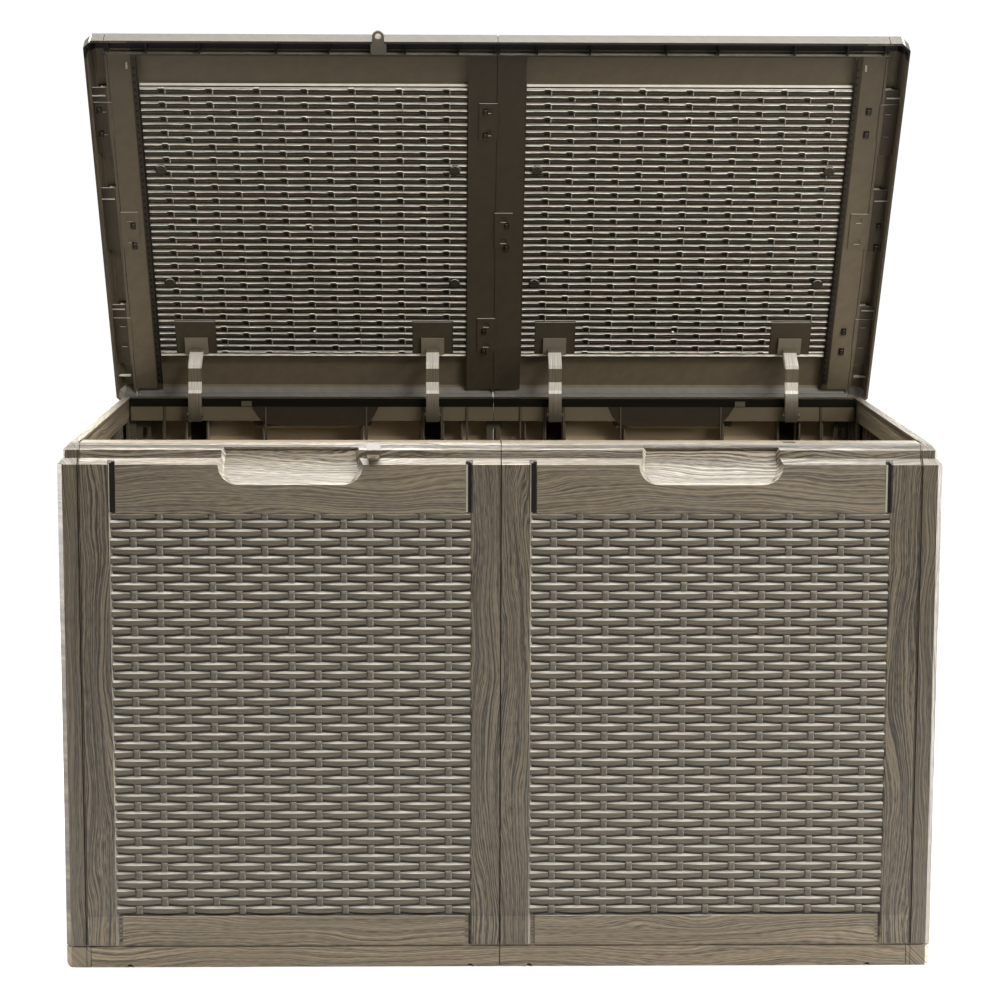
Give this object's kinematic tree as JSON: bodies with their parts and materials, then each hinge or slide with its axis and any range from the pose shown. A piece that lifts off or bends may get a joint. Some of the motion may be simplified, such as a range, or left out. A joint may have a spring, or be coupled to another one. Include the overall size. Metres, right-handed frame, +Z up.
{
  "type": "outdoor storage chest",
  "caption": "Resin dock and deck chest with woven-look wall panels, corner posts and a hinged lid on hooked stay arms.",
  "frame": {"origin": "on the floor under the middle of the chest, on the underside of the rail below the floor's seam", "axes": "+Z up, +X to the right and +Y to the rear, seen from the front"},
  "size_m": [1.2, 0.6828, 1.292],
  "materials": {
    "walls": "moulded grain",
    "lid": "moulded grain",
    "floor": "smooth",
    "fittings": "smooth",
    "hardware": "smooth",
    "pins": "drawn rod"
  },
  "bodies": {
    "root": {"front_panel_left": "walls", "front_panel_right": "walls", "rear_panel_left": "walls", "rear_panel_right": "walls", "side_panel_left": "walls", "side_panel_right": "walls", "corner_post_front_left": "walls", "corner_post_front_right": "walls", "corner_post_rear_left": "walls", "corner_post_rear_right": "walls", "corner_bracket_front_left": "fittings", "corner_bracket_front_right": "fittings", "corner_bracket_rear_left": "fittings", "corner_bracket_rear_right": "fittings", "front_joint_strip": "fittings", "rear_joint_strip": "fittings", "base_left": "floor", "base_right": "floor", "base_end_left": "floor", "base_end_right": "floor", "base_joint_rail": "floor", "hinge_pins": "pins", "lock_catch": "hardware", "rim_plug": "hardware"},
    "lid": {"lid_panel_left": "lid", "lid_panel_right": "lid", "lid_end_left": "lid", "lid_end_right": "lid", "stay_arm_left_inner": "hardware", "stay_arm_left_outer": "hardware", "stay_arm_right_inner": "hardware", "stay_arm_right_outer": "hardware", "stay_clip_left_inner": "fittings", "stay_clip_left_outer": "fittings", "stay_clip_right_inner": "fittings", "stay_clip_right_outer": "fittings", "lid_joint_snaps": "fittings", "lid_end_snaps": "fittings", "stay_pins": "fittings", "lid_lock_eye": "hardware"}
  },
  "joints": [
    {"name": "lid_hinge", "type": "hinge", "parent": "root", "child": "lid", "pos_m": [0, 0.323, 0.713], "axis": [1, 0, 0], "range_deg": [0, 60]}
  ]
}
